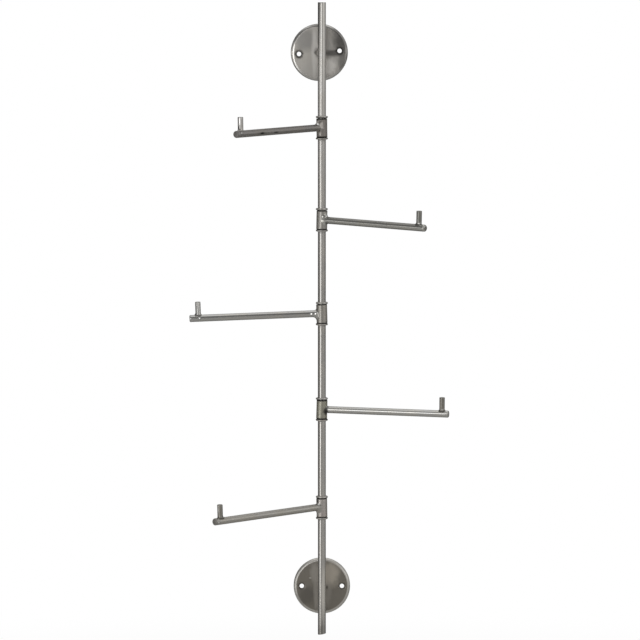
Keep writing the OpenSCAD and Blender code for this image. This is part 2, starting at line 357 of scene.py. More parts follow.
upright = Matrix.Rotation(math.radians(-90), 4, "Y")
joint_heights = in_mm(731, 586.5, 438.5, 287, 130.5)
all_round = 60 * mm  # a mark of this size takes in the whole of a thin piece
# Painted shade on the pole in the gaps at both ends of each sleeve; the rest of it lies under the sleeve
shade_at_sleeves = [((height, 0, 0), (20 * mm, all_round, all_round), 1.0) for height in joint_heights]
# The long light and dark bands down the pole are painted reflections; the first two marks darken the foot
pole_reflections_and_marks = [  # up the pole, back from its axis and to the left; size; strength; colour
    ((pole_foot, 0, 0), in_mm(22, 40, 40), 0.5, (0.16, 0.15, 0.13, 1)),
    (in_mm(-63, -6.3, -0.8), in_mm(20, 3, 1.7), 0.6, (0.1, 0.1, 0.09, 1)),
    ((pole_top, -4.2 * mm, 4.9 * mm), in_mm(95, 3, 1.9), 0.92, (0.03, 0.03, 0.03, 1)),
    (in_mm(430, -3.5, 5.5), in_mm(900, 4, 2.2), 0.45, (0.22, 0.21, 0.2, 1)),
    (in_mm(705, -6, -3.5), in_mm(140, 12, 5), 0.6, (0.38, 0.37, 0.355, 1)),
    (in_mm(150, -6, -3.5), in_mm(300, 12, 5), 0.6, (0.68, 0.67, 0.645, 1)),
    (in_mm(0, -6, -3.5), in_mm(46, 12, 5), 0.8, (0.86, 0.83, 0.775, 1)),
]
hand_over(pole, "root", "pole",
          steel("pole_steel", (0.5, 0.49, 0.472), Matrix.Translation((0, pole_y, 0)) @ upright,
                roughness=0.11, seed=1.0, broad=0.1, fine=0.008, line_length=1.0,
                marks=pole_reflections_and_marks, shade_and_grime=shade_at_sleeves))


# Rosettes: two pressed cups of 2 mm sheet, open to the wall. The shoulder is rolled, and each of
# the two wall screw holes sits in a dimple that takes a countersunk head. The top one is turned
# by 4.5 degrees and sits 4 mm left of the pole.
rosette_r = 45 * mm
rosette_depth = 7 * mm
shoulder_r = 5 * mm
rim_edge = 0.3 * mm
sheet = 2 * mm
hole_r = 3.5 * mm
dimple_r = 5.8 * mm
dimple_depth = 1.6 * mm
dimple_lip_r = dimple_r + 1.2 * mm
hole_x = 32 * mm
centre_hole_r = 3.1 * mm
top_height = 848.5 * mm
top_shift = 4 * mm
top_turn = math.radians(4.5)


def flat_rim(radius, height, x=0.0):
    def place(turn):
        return Vector((x + radius * math.cos(turn), radius * math.sin(turn), height))
    return place


flat_r = rosette_r - shoulder_r
rosette = first_rim("rosette_pressed", 160, flat_rim(flat_r, rosette_depth))
draw_out(rosette, [flat_rim(flat_r + shoulder_r * math.sin(a), rosette_depth - shoulder_r * (1 - math.cos(a)))
                   for a in (math.radians(angle) for angle in range(9, 91, 9))])
draw_out(rosette, [flat_rim(rosette_r, rim_edge), flat_rim(rosette_r - rim_edge, 0)])
dimple = [  # radius and depth, from the lip to the hole
    (dimple_r + 0.5 * mm, 0.06 * mm), (dimple_r, 0.25 * mm), (dimple_r - 0.9 * mm, 0.85 * mm),
    (hole_r + 0.35 * mm, dimple_depth - 0.12 * mm), (hole_r, dimple_depth + 0.1 * mm)]
# Each mouth starts as a rim in the plane of the face, and the two for wall screws go down from it
for x, radius in ((-hole_x, dimple_lip_r), (hole_x, dimple_lip_r), (0.0, centre_hole_r)):
    bpy.ops.mesh.select_all(action="DESELECT")
    bpy.ops.mesh.primitive_circle_add(vertices=64, radius=radius, location=(x, 0, rosette_depth),
                                      fill_type="NOTHING")
    mesh = bmesh.from_edit_mesh(rosette.data)
    turn = mesh.verts.layers.float["turn"]
    for point in mesh.verts:
        if point.select:
            point[turn] = math.atan2(point.co.y, point.co.x - x) % math.tau
    bmesh.update_edit_mesh(rosette.data)
    if x:
        draw_out(rosette, [flat_rim(rim_r, rosette_depth - depth, x) for rim_r, depth in dimple])
# The face is filled between the open rims in its plane
bpy.ops.mesh.select_all(action="DESELECT")
mesh = bmesh.from_edit_mesh(rosette.data)
for edge in mesh.edges:
    level = all(abs(point.co.z - rosette_depth) < same_place for point in edge.verts)
    edge.select_set(level and len(edge.link_faces) < 2)
bmesh.update_edit_mesh(rosette.data)
bpy.ops.mesh.fill(use_beauty=True)
face_out()
pick(rosette)
wall = rosette.modifiers.new("sheet", "SOLIDIFY")
wall.thickness = sheet
wall.offset = -1
wall.use_even_offset = True
bpy.ops.object.modifier_apply(modifier="sheet")
smooth(rosette, 30)


def sheen_and_stain(right, up, wide, high, strength, tone, blue=0.93, deep=2.0):
    """A patch of colour on a rosette's face, placed from its centre in mm: painted highlights, shade and
    reflections as well as darker patches. The lower blue is, the warmer it is
    """
    return ((up * mm, -rosette_depth, -right * mm), in_mm(high, deep, wide), strength,
            (tone, tone * (0.6 + 0.4 * blue), tone * blue, 1))


def shade_spot(right, up, radius, strength):
    """A dull dark spot through a rosette, placed from its centre in mm, which is painted shade"""
    return ((up * mm, 0, -right * mm), in_mm(radius, 40, radius), strength)


def own_copy(piece, name):
    """A copy of the piece that has its own mesh"""
    made = piece.copy()
    made.data = piece.data.copy()
    made.name = made.data.name = name
    scene.collection.objects.link(made)
    return made


# Patches on the faces. The narrow ones at the top rim are a painted highlight on its left and painted shade
# on its other sides. The dark band right of the pole on the top one, and the small dark spot right of it on
# the bottom one, are the standoff's painted shadow. The tiny pale dash on the bottom one is a painted
# highlight on a scratch. The broad lighter and darker zones are painted reflections in part, and darker
# patches besides.
top_sheen_and_stains = [
    sheen_and_stain(-20, 20, 22, 20, 0.85, 0.30), sheen_and_stain(-7, 2, 6, 50, 0.75, 0.66), sheen_and_stain(15, -22, 14, 16, 0.9, 0.8),
    sheen_and_stain(38, 18, 19, 26, 0.85, 0.09), sheen_and_stain(15, 12, 8, 13, 0.5, 0.5), sheen_and_stain(36, -14, 7, 22, 0.7, 0.17),
    sheen_and_stain(24, -0.8, 22, 6.2, 0.85, 0.12), sheen_and_stain(-42, 6, 4, 34, 0.8, 1.0, deep=12),
    sheen_and_stain(43.5, 2, 3, 26, 0.7, 0.3, deep=12), sheen_and_stain(-8, 44, 26, 4, 0.7, 0.2, deep=12),
    sheen_and_stain(28, 34, 9, 14, 0.6, 0.2, deep=12)]
bottom_sheen_and_stains = [
    sheen_and_stain(13, 20, 18, 24, 0.85, 0.62, 0.8), sheen_and_stain(-11, 22, 9, 20, 0.8, 0.44, 0.87),
    sheen_and_stain(-24, -16, 18, 19, 0.7, 0.16, 0.84), sheen_and_stain(-8, -6, 6, 44, 0.75, 0.44, 0.86),
    sheen_and_stain(8, -10, 9, 26, 0.5, 0.44, 0.86), sheen_and_stain(8.3, -2, 2, 3.6, 0.6, 0.06),
    sheen_and_stain(-18.5, 13, 2.4, 0.9, 0.8, 0.8)]
# Painted shade in the screw dimples, and round the standoff's foot on the top one
top_shade_spots = [shade_spot(-31.9, -2.5, 7.6, 1.0), shade_spot(31.9, 2.5, 7.2, 1.0), shade_spot(0, 0, 9, 0.7)]
bottom_shade_spots = [shade_spot(-32, 0, 6.0, 0.6), shade_spot(32, 0, 6.4, 0.75)]
# Past this radius the rolled rim of each rosette is coloured lighter; on the top one it is also less rough
lighter_rim_r = 40.5 * mm
top_place = Matrix.Translation((-top_shift, 0, top_height))
from_wall = Matrix.Rotation(math.radians(90), 4, "X")
# The top rosette is coloured lighter than the bottom one, standing in for the brighter light that its turned
# face mirrors
top_steel = steel("top_rosette_steel", (0.465, 0.45, 0.425), top_place @ upright, roughness=0.32, seed=3.0,
                  broad=0.05, fine=0.01, line_length=0.35, clouds=0.4, marks=top_sheen_and_stains, shade_and_grime=top_shade_spots,
                  rim=(lighter_rim_r, (0.56, 0.55, 0.53, 1), 0.17))
bottom_steel = steel("bottom_rosette_steel", (0.265, 0.247, 0.218), upright, roughness=0.36, seed=4.0,
                     broad=0.05, fine=0.01, line_length=0.5, clouds=0.4, marks=bottom_sheen_and_stains,
                     shade_and_grime=bottom_shade_spots, rim=(lighter_rim_r, (0.61, 0.595, 0.56, 1), 0.38))
for place_name, matrix, material in (
        ("top", top_place @ from_wall @ Matrix.Rotation(top_turn, 4, "Z"), top_steel),
        ("bottom", from_wall, bottom_steel)):
    cup = own_copy(rosette, f"{place_name}_rosette_pressed")
    put_in_place(cup, matrix)
    hand_over(cup, "root", f"{place_name}_rosette", material)
bpy.data.objects.remove(rosette)


# Standoffs: a short 12 mm bar from each rosette to the back of the pole, brazed there above and
# below. The top one leans, because its rosette sits to the left.
widest = 0.985  # a braze reaches no further round its host than this share of the radius
proud = 0.06 * mm  # how far the foot of a braze stands off its host before it dips under the skin


def root_rims(bar_r, host_r, along, foot, rims, pull, point_of, host_lean=0.0, sunk=0.14 * mm):
    """Rims of a brazed root, from a bar's side down to the round host that it stands on.
    along and foot say how far the braze reaches on the bar and on the host at each turn;
    turn 0 lies along the host's axis, which may lean. Its edge ends that far under the host's skin"""
    def surface(rho, turn, depth=0.0):
        off = math.sqrt(max((host_r - depth) ** 2 - (rho * math.sin(turn)) ** 2, (0.05 * host_r) ** 2))
        return (off - rho * math.cos(turn) * math.sin(host_lean)) / math.cos(host_lean)

    def foot_reach(turn):
        side = abs(math.sin(turn))
        reach = foot(turn)
        if (bar_r + reach) * side > host_r * widest:
            reach = host_r * widest / side - bar_r
        return reach

    def rim(share):
        """One rim of the ramp, which is a curve that leaves the bar and meets the host smoothly"""
        def place(turn):
            reach = foot_reach(turn)
            foot_rho = bar_r + reach
            inner_rho = foot_rho - reach * pull
            corner = surface(bar_r, turn)
            start = Vector((corner + along(turn), bar_r))
            first = Vector((start.x + (corner - start.x) * pull, bar_r))
            second = Vector((surface(inner_rho, turn, -proud), inner_rho))
            end = Vector((surface(foot_rho, turn, sunk), foot_rho))
            left = 1 - share
            point = (left ** 3 * start + 3 * left ** 2 * share * first + 3 * left * share ** 2 * second
                     + share ** 3 * end)
            return point_of(point.x, point.y, turn)
        return place

    def cap(share):
        """One rim of the closing face, under the host's skin"""
        def place(turn):
            rho = (bar_r + foot_reach(turn)) * share
            return point_of(surface(rho, turn, sunk + 0.01 * mm), rho, turn)
        return place
    return [rim(n / rims) for n in range(rims + 1)] + [cap(share) for share in (0.99, 0.66, 0.33, 0.05)]


def along_bar(x, rho, turn):
    """A point of a bar that runs along x, with turn 0 on top"""
    return Vector((x, -rho * math.sin(turn), rho * math.cos(turn)))


standoff_r = 6 * mm
standoff_edge = 0.3 * mm
standoff_length = -pole_y - rosette_depth


def wall_rim(radius, lean, back=0.0):
    """A rim on the rosette's face, to which the bar leans, or that far off it"""
    def place(turn):
        side = -radius * math.sin(turn)
        x = (standoff_length - back - side * math.sin(lean)) / math.cos(lean)
        return along_bar(x, radius, turn)
    return place


def standoff_braze(least, most):
    """Reach of a braze that is largest above and below"""
    return lambda turn: (least + (most - least) * math.cos(turn) ** 2) * mm


for place_name, height, shift in (("top", top_height, top_shift), ("bottom", 0.0, 0.0)):
    lean = math.atan(shift / standoff_length)
    to_wall = Matrix.Translation((0, pole_y, height)) @ Matrix.Rotation(math.radians(90) + lean, 4, "Z")
    bar = first_rim(f"{place_name}_standoff_bar", 72, wall_rim(standoff_r / 2, lean))
    draw_out(bar, [wall_rim(standoff_r - standoff_edge, lean), wall_rim(standoff_r, lean, standoff_edge),
                   lambda turn: along_bar(standoff_length * 0.75, standoff_r, turn)])
    draw_out(bar, root_rims(standoff_r, pole_r, standoff_braze(0.3, 2.0), standoff_braze(0.1, 2.0),
                            rims=8, pull=0.55, point_of=along_bar, sunk=0.25 * mm))
    close_both()
    smooth(bar)
    put_in_place(bar, to_wall)
    hand_over(bar, "root", f"{place_name}_standoff",
              steel(f"{place_name}_standoff_steel", (0.24, 0.23, 0.21), to_wall,
                    roughness=0.3, seed=5.0, fine=0.05, line_length=0.1))


# Rosette screws and washers: a zinc-plated button head with a hexagon socket in each cup, on a
# plain washer. It comes through the sheet into the standoff's tapped hole.
def zinc(name, seed):
    """Bright plating, with a fine grain and a dull bloom"""
    material = bpy.data.materials.new(name)
    material.use_nodes = True
    tree = material.node_tree
    shader = tree.nodes["Principled BSDF"]
    where = node(tree, "ShaderNodeTexCoord").outputs["Object"]
    grain = node(tree, "ShaderNodeTexNoise", {"Vector": where, "W": seed, "Scale": 900.0, "Detail": 3.0},
                 noise_dimensions="4D")
    bloom = node(tree, "ShaderNodeTexNoise", {"Vector": where, "W": seed, "Scale": 220.0, "Detail": 2.0},
                 noise_dimensions="4D")
    colour = blend_colours(tree, ranged(tree, bloom.outputs["Fac"], 0.4, 0.7), (0.60, 0.60, 0.58, 1),
                           (0.48, 0.49, 0.46, 1))
    rough = ranged(tree, grain.outputs["Fac"], 0.3, 0.7, 0.22, 0.34)
    bump = node(tree, "ShaderNodeBump", {"Height": grain.outputs["Fac"], "Strength": 0.25,
                                         "Distance": 0.1 * mm})
    tree.links.new(colour, shader.inputs["Base Color"])
    tree.links.new(rough, shader.inputs["Roughness"])
    tree.links.new(bump.outputs[0], shader.inputs["Normal"])
    shader.inputs["Metallic"].default_value = 1.0
    return material


for place_name, seed in (("top", 3.0), ("bottom", 4.0)):
    for part in ("screw", "washer"):
        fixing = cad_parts[f"{place_name}_{part}"]
        fixing.data.materials.clear()
        fixing.data.materials.append(zinc(f"{place_name}_{part}_zinc", seed))


# Collars: ten rings of 3.2 mm round wire on the pole, one over and one under each sleeve. The braze
# fills the corner between wire and tube, and climbs the tube on the side away from the sleeve.
wire_r = 1.6 * mm
wire_circle_r = pole_r + wire_r
collar_foot = 0.6 * mm


def uneven(turn):
    return 0.55 * math.sin(turn + 0.4) + 0.3 * math.sin(3 * turn + 1.9) + 0.15 * math.sin(7 * turn)


def wire_rim(angle):
    """A rim of the ring at that angle round its wire"""
    def place(turn):
        r = wire_r * (0.985 + 0.015 * math.sin(5 * turn + angle))
        return flat_rim(wire_circle_r + r * math.cos(angle), wire_r + r * math.sin(angle))(turn)
    return place


def braze_rim(share):
    """A rim of the hollow ramp from the wire up to the tube, where its edge is uneven"""
    def place(turn):
        start = (wire_circle_r - 0.62 * wire_r, wire_r * 1.77)
        corner = (pole_r + 0.25 * mm, start[1] - 0.1 * mm)
        end = (pole_r + 0.02 * mm, wire_r * 2 + (0.15 + 0.35 * uneven(turn)) * mm)
        a, b, c = (1 - share) ** 2, 2 * share * (1 - share), share ** 2
        return flat_rim(*(a * u + b * v + c * w for u, v, w in zip(start, corner, end)))(turn)
    return place


collar = first_rim("collar_ring", 96, flat_rim(pole_r, collar_foot))
draw_out(collar, [flat_rim(pole_r + 0.5 * wire_r, 0.5 * mm)])
draw_out(collar, [wire_rim(math.radians(angle)) for angle in range(-130, 121, 12)])
draw_out(collar, [braze_rim(n / 5) for n in range(6)])
draw_out(collar, [flat_rim(pole_r, wire_r), flat_rim(pole_r, collar_foot)])
join_ends()
smooth(collar)

sleeve_length = 29.4 * mm
sleeve_r = 8.55 * mm
sleeve_edge = 0.5 * mm
side_play = 0.8 * mm
end_play = 0.4 * mm
sag = math.asin(side_play / sleeve_length)
collar_reach = sleeve_length / 2 * math.cos(sag) + (sleeve_r - sleeve_edge) * math.sin(sag) + 0.1 * mm
arms = {
    1: {"side": "left", "swing": 50.5, "reach": 207.0 * mm, "drop": -0.5 * mm, "droop": -0.2},
    2: {"side": "right", "swing": 40.0, "reach": 207.5 * mm, "drop": 0.0, "droop": -0.3},
    3: {"side": "left", "swing": 3.5, "reach": 208.5 * mm, "drop": -0.5 * mm, "droop": 0.4},
    4: {"side": "right", "swing": 15.0, "reach": 205.5 * mm, "drop": 0.2 * mm, "droop": -1.2},
    5: {"side": "left", "swing": 36.0, "reach": 207.0 * mm, "drop": -1.2 * mm, "droop": 0.2},
}
# Painted shade in the gaps at each sleeve's ends
gap_shade = {  # strength and width of the dark in the gaps at each sleeve's ends
    1: (1.0, 2.1 * mm), 2: (0.95, 1.4 * mm), 3: (0.9, 1.2 * mm), 4: (1.0, 1.7 * mm), 5: (0.9, 1.2 * mm)}
flipped = Matrix.Rotation(math.pi, 4, "X")
for number, arm in arms.items():
    arm["height"] = joint_heights[number - 1]
    much, wide = gap_shade[number]
    for which, sign, play, over, spin in (("upper", 1, end_play, Matrix.Identity(4), 0.9),
                                          ("lower", -1, 0.0, flipped, 0.0)):
        ring = own_copy(collar, f"arm_{number}_{which}_collar_ring")
        seat = Matrix.Translation((0, pole_y, arm["height"] + sign * (collar_reach + play)))
        put_in_place(ring, seat @ over @ Matrix.Rotation(number * 1.7 + spin, 4, "Z"))
        # Painted shade: dark in the gap next to the sleeve, and a dark line in the crease at the braze's edge
        # on the tube
        shade_in_gap = ((0, 0, 0), in_mm(40, 40, 1.0 + 0.3 * wide / mm), much)
        shade_at_braze = ((0, 0, sign * 3.7 * mm), in_mm(16, 16, 0.9), 0.8)
        hand_over(ring, "root", f"arm_{number}_{which}_collar",
                  steel(f"arm_{number}_{which}_collar_steel", (0.58, 0.57, 0.55), seat,
                        roughness=0.24, seed=number + 0.3 * sign, fine=0.03, line_length=1.0, clouds=0.8,
                        shade_and_grime=[shade_in_gap, shade_at_braze]))
bpy.data.objects.remove(collar)


# Sleeves: five short tubes, turned from thick tube, that swing on the pole between their collars.
# They hang askew by the play of the bore.
bore_r = 6.85 * mm
bore_edge = 0.4 * mm
sleeve_steps = 12


def sleeve_rim(radius, height):
    def place(turn):
        oval = 0.004 * math.cos(2 * turn + 60 * height)
        r = radius * (1 + oval + 0.003 * math.sin(5 * turn + 200 * height))
        return Vector((r * math.cos(turn), r * math.sin(turn), height))
    return place


half = sleeve_length / 2
straight = sleeve_length - 2 * sleeve_edge
rounding = [(sleeve_edge * (1 - math.sin(a)), sleeve_edge * (1 - math.cos(a)))
            for a in (math.radians(angle) for angle in (0, 30, 60, 90))]
sleeve = first_rim("sleeve_tube", 96, sleeve_rim(bore_r, -half + bore_edge))
draw_out(sleeve, [sleeve_rim(bore_r + bore_edge, -half)])
draw_out(sleeve, [sleeve_rim(sleeve_r - inwards, -half + up) for inwards, up in rounding])
draw_out(sleeve, [sleeve_rim(sleeve_r, -half + sleeve_edge + straight * n / sleeve_steps)
                  for n in range(1, sleeve_steps)])
draw_out(sleeve, [sleeve_rim(sleeve_r - inwards, half - down) for down, inwards in rounding])
draw_out(sleeve, [sleeve_rim(bore_r + bore_edge, half), sleeve_rim(bore_r, half - bore_edge),
                  sleeve_rim(bore_r, -half + bore_edge)])
join_ends()
smooth(sleeve)


def arm_frame(arm):
    """The sleeve's frame: x runs square from it, and the origin is on the pole's axis. It hangs askew"""
    plan = math.radians(180 + arm["swing"] if arm["side"] == "left" else -arm["swing"])
    return Matrix.Translation((0, pole_y, arm["height"])) @ Euler((0, sag, plan)).to_matrix().to_4x4()


# Tone and roughness of each sleeve, set to how bright each one shows, so that they partly stand in for the
# light each one catches
sleeve_looks = {1: ((0.30, 0.28, 0.265), 0.46), 2: ((0.385, 0.38, 0.37), 0.3), 3: ((0.38, 0.37, 0.35), 0.28),
                4: ((0.385, 0.38, 0.33), 0.32), 5: ((0.52, 0.495, 0.475), 0.3)}
# Sleeve 1's pale spot and sleeve 5's white spot are painted highlights, sleeve 5's dark patch is painted
# shade beside its braze, and its pinkish patch low down is a tint
sleeve_highlights_and_tint = {  # up the sleeve, to the side and away from the rod; size; strength; colour
    1: [(in_mm(-9.5, 2.8, -8.1), in_mm(2.8, 1.6, 2), 0.7, (0.62, 0.6, 0.58, 1))],
    5: [(in_mm(7, 3.4, -7.5), in_mm(2.2, 2.2, 1.6), 0.9, (0.95, 0.94, 0.92, 1)),
        (in_mm(11, -0.5, -8.3), in_mm(3.2, 4, 2.2), 0.8, (0.1, 0.1, 0.09, 1)),
        (in_mm(-8, 7, -3), in_mm(6, 8, 7), 0.5, (0.50, 0.44, 0.43, 1))],
}
root_shade = {4: [(in_mm(-2, -3, -9.5), in_mm(8, 8, 8), 0.97)]}
for number, arm in arms.items():
    tube = own_copy(sleeve, f"arm_{number}_sleeve_tube")
    put_in_place(tube, arm_frame(arm))
    much, wide = gap_shade[number]
    # Painted shade at both ends of the sleeve, next to the collars
    shade_at_ends = [((end * half, 0, 0), (wide, all_round, all_round), much) for end in (-1, 1)]
    tone, roughness = sleeve_looks[number]
    hand_over(tube, f"arm_{number}", f"arm_{number}_sleeve",
              steel(f"arm_{number}_sleeve_steel", tone, arm_frame(arm) @ upright,
                    roughness=roughness, seed=10.0 + number, broad=0.12, line_length=0.1, clouds=0.8,
                    marks=sleeve_highlights_and_tint.get(number, []), shade_and_grime=shade_at_ends + root_shade.get(number, [])))
bpy.data.objects.remove(sleeve)


# Rods: five round bars, 11 mm thick, coped to the sleeve and brazed to it. Each braze runs its own
# way: a ramp above the rod here, one below it there. The far end is ground round.
rod_r = 5.5 * mm
past_braze = 24 * mm
rod_steps = 24
brazes = {  # along the rod and up the sleeve, in mm: above, below and at the sides; how full the ramp is
    1: ((7.6, 7.8), (1.4, 0.9), (3.2, 2.2), 0.34),
    2: ((4.6, 7.0), (4.2, 3.8), (6.0, 2.6), 0.5),
    3: ((3.4, 2.8), (5.4, 7.2), (3.5, 1.2), 0.5),
    4: ((1.6, 1.8), (2.0, -1.5), (2.2, -1.5), 0.5),
    5: ((2.8, 2.6), (4.0, 7.8), (5.0, 2.4), 0.48),
}
end_rounds = {1: 2.6 * mm, 2: 2.6 * mm, 3: 1.8 * mm, 4: 1.8 * mm, 5: 2.6 * mm}


def rod_rim(x, radius, number):
    def place(turn):
        oval = 0.006 * math.cos(2 * turn + 9 * x + number)
        return along_bar(x, radius * (1 + oval + 0.003 * math.cos(3 * turn + 30 * x + 2 * number)), turn)
    return place


def braze_spread(number, which):
    """Reach of a rod's braze: which is 0 along the rod, and 1 on the sleeve"""
    above, below, beside, _ = brazes[number]

    def size(turn):
        up, down, side = max(0, math.cos(turn)) ** 2, max(0, -math.cos(turn)) ** 2, math.sin(turn) ** 2
        ragged = 1 + 0.1 * math.sin(3 * turn + number * 2 + which) + 0.06 * math.sin(7 * turn + number)
        return (up * above[which] + down * below[which] + side * beside[which]) * ragged * mm
    return size


def rod_frame(arm):
    """The rod's frame: x runs along its axis"""
    return (arm_frame(arm) @ Matrix.Translation((0, 0, -arm["drop"]))
            @ Matrix.Rotation(math.radians(arm["droop"]), 4, "Y"))


# Tone and roughness of each rod, set to how bright each one shows, so that they partly stand in for the light
# each one catches
rod_looks = {1: ((0.41, 0.395, 0.385), 0.24), 2: ((0.52, 0.52, 0.50), 0.12), 3: ((0.50, 0.50, 0.49), 0.11),
             4: ((0.53, 0.53, 0.52), 0.09), 5: ((0.46, 0.45, 0.425), 0.36)}
# Rod 1 has dark spots along it; rod 3's dark patch is painted shade over a highlight on its braze's ramp
rod_marks_and_highlights = {  # along the rod, to the side and up; size; strength; colour
    1: [(in_mm(150, 5.3, -0.6), in_mm(16, 5, 2.6), 0.5, (0.24, 0.23, 0.22, 1)),
        (in_mm(150, 5.3, -1.0), in_mm(6, 3, 1.9), 0.95, (0.03, 0.03, 0.03, 1)),
        (in_mm(117, 5.3, -1.2), in_mm(6, 3, 1.3), 0.9, (0.06, 0.06, 0.06, 1))],
    2: [],
    3: [(in_mm(6.3, 6, -1.4), in_mm(2.4, 4.5, 5), 0.9, (0.22, 0.215, 0.2, 1))],
    4: [],
    5: [],
}
# Painted highlights: near-white spots on rods and pegs, and on the rods a painted dark ring round each spot
highlight_white = (0.97, 0.965, 0.95, 1)
painted_highlights = [  # arm, place and radius of a bright spot in mm, and how dark the steel is round it
    (1, 198, 5, 1.7, 1.8, 0.6), (3, 192.6, 5.4, 0.8, 1.5, 0.6), (5, 201, 5.4, -0.9, 1.6, 0.6),
    (1, 12.5, 2.3, 5.6, 2.3, 0.6), (2, 9.6, -1, 6.6, 1.8, 0.6), (3, 16.7, 5.5, 0, 1.8, 0.2),
    (3, 10.3, 5.8, 0, 1.7, 0.0), (5, 8.2, 3.6, 5.0, 2.4, 0.6)]
for number, x, y, z, radius, shade in painted_highlights:
    rod_marks_and_highlights[number].append((in_mm(x, y, z), (2 * radius * mm,) * 3, shade, (0.1, 0.1, 0.095, 1)))
    rod_marks_and_highlights[number].append((in_mm(x, y, z), (radius * mm,) * 3, 0.9, highlight_white))
rod_facets = {3: [(in_mm(x, 5.5, z), 2.5 * mm, 0.4) for x, z in ((16.7, 0.2), (10.3, 0.2), (192.6, 0.8))]}
# Painted shade on rod 4 at its root by the sleeve; rods 1 and 5 are darker and duller at their far ends
rod_dark_layers = {4: [(in_mm(9.4, 0, -1.2), in_mm(3.0, 12, 7), 1.0)]}
for number in (1, 5):
    rod_dark_layers[number] = [((arms[number]["reach"], 0, 0), in_mm(5, 12, 12), 0.45)]
for number, arm in arms.items():
    reach, end_r = arm["reach"], end_rounds[number]
    straight = reach - end_r - past_braze
    rod = first_rim(f"arm_{number}_rod_bar", 72, rod_rim(reach, (rod_r - end_r) / 2, number))
    draw_out(rod, [rod_rim(reach - end_r * (1 - math.cos(a)), rod_r - end_r * (1 - math.sin(a)), number)
                   for a in (math.radians(angle) for angle in range(0, 91, 10))])
    draw_out(rod, [rod_rim(past_braze + straight * (1 - n / rod_steps), rod_r, number)
                   for n in range(1, rod_steps + 1)])
    draw_out(rod, root_rims(rod_r, sleeve_r, braze_spread(number, 0), braze_spread(number, 1), rims=10,
                            pull=brazes[number][3], point_of=along_bar, host_lean=math.radians(arm["droop"])))
    close_both()
    smooth(rod)
    put_in_place(rod, rod_frame(arm))
    tone, roughness = rod_looks[number]
    hand_over(rod, f"arm_{number}", f"arm_{number}_rod",
              steel(f"arm_{number}_rod_steel", tone, rod_frame(arm), roughness=roughness,
                    seed=20.0 + number, broad=0.08, fine=0.008, clouds=0.7, marks=rod_marks_and_highlights[number],
                    shade_and_grime=rod_dark_layers.get(number, []), facets=rod_facets.get(number, [])))


# Pegs: a short upright bar near each rod's end, coped to it and brazed on, which stops what hangs
# there from sliding off. The top edge is broken by hand.
peg_r = 4.25 * mm
peg_rise = 20.5 * mm
peg_edge = 0.8 * mm
peg_reach = 194.6 * mm
peg_root = 6 * mm
peg_steps = 4


def upright_bar(z, rho, turn):
    """A point of a bar that stands up along z, with turn 0 along the rod"""
    return Vector((rho * math.cos(turn), rho * math.sin(turn), z))


def peg_rim(z, radius):
    return lambda turn: upright_bar(z, radius, turn)


def peg_spread(number, size):
    def reach(turn):
        return size * (1 + 0.35 * math.sin(turn + number * 2.3) + 0.2 * math.sin(4 * turn + number)) * mm
    return reach


# The tones differ peg by peg; the lighter, smoother ones on pegs 1 and 3 partly stand in for the streak of
# light that those two catch
peg_looks = {1: ((0.50, 0.49, 0.48), 0.18), 2: ((0.26, 0.26, 0.245), 0.3), 3: ((0.42, 0.42, 0.41), 0.16),
             4: ((0.28, 0.27, 0.25), 0.3), 5: ((0.31, 0.30, 0.275), 0.36)}
# Painted highlights and streaks of light on the pegs, with painted shade low on pegs 1 and 5
peg_highlights_and_shade = {  # up the peg, to the side and towards the pole; size; strength; colour
    1: [(in_mm(9.5, -0.4, -4.2), in_mm(3.6, 1.8, 1.8), 0.9, (0.06, 0.06, 0.06, 1)),
        (in_mm(20, 1.8, -3.9), in_mm(8, 1.3, 1.3), 0.8, highlight_white)],
    2: [(in_mm(6.6, -3.9, -3.2), in_mm(1.8, 2, 2), 1.0, highlight_white)],
    3: [(in_mm(16, 4.1, 1.4), in_mm(11, 1.3, 1.0), 0.9, highlight_white)],
    4: [(in_mm(7, -4.0, -1.6), in_mm(1.6, 1.6, 1.6), 0.7, highlight_white)],
    5: [(in_mm(8, 3.4, 2.4), in_mm(1.8, 1.8, 1.8), 0.8, (0.1, 0.1, 0.09, 1)),
        (in_mm(19, 1.6, -3.9), in_mm(8, 1.2, 1.2), 0.6, (0.62, 0.61, 0.58, 1))],
}
at_foot = ((rod_r - 1.0 * mm, 0, 0), in_mm(1.9, 12, 12), 0.6)
peg_top = rod_r + peg_rise
for number, arm in arms.items():
    peg = first_rim(f"arm_{number}_peg_bar", 64, peg_rim(peg_top, (peg_r - peg_edge) / 2))
    draw_out(peg, [peg_rim(peg_top - peg_edge * (1 - math.cos(a)), peg_r - peg_edge * (1 - math.sin(a)))
                   for a in (math.radians(angle) for angle in range(0, 91, 15))])
    draw_out(peg, [peg_rim(peg_top - peg_edge - (peg_rise - peg_root) * n / peg_steps, peg_r)
                   for n in range(1, peg_steps + 1)])
    draw_out(peg, root_rims(peg_r, rod_r, peg_spread(number, 3.0), peg_spread(number, 2.0),
                            rims=8, pull=0.4, point_of=upright_bar))
    close_both()
    smooth(peg)
    peg_frame = rod_frame(arm) @ Matrix.Translation((peg_reach, 0, 0))
    put_in_place(peg, peg_frame)
    tone, roughness = peg_looks[number]
    hand_over(peg, f"arm_{number}", f"arm_{number}_peg",
              steel(f"arm_{number}_peg_steel", tone, peg_frame @ upright, roughness=roughness,
                    seed=30.0 + number, broad=0.08, fine=0.01, line_length=0.15, clouds=0.7,
                    marks=peg_highlights_and_shade[number], shade_and_grime=[at_foot]))


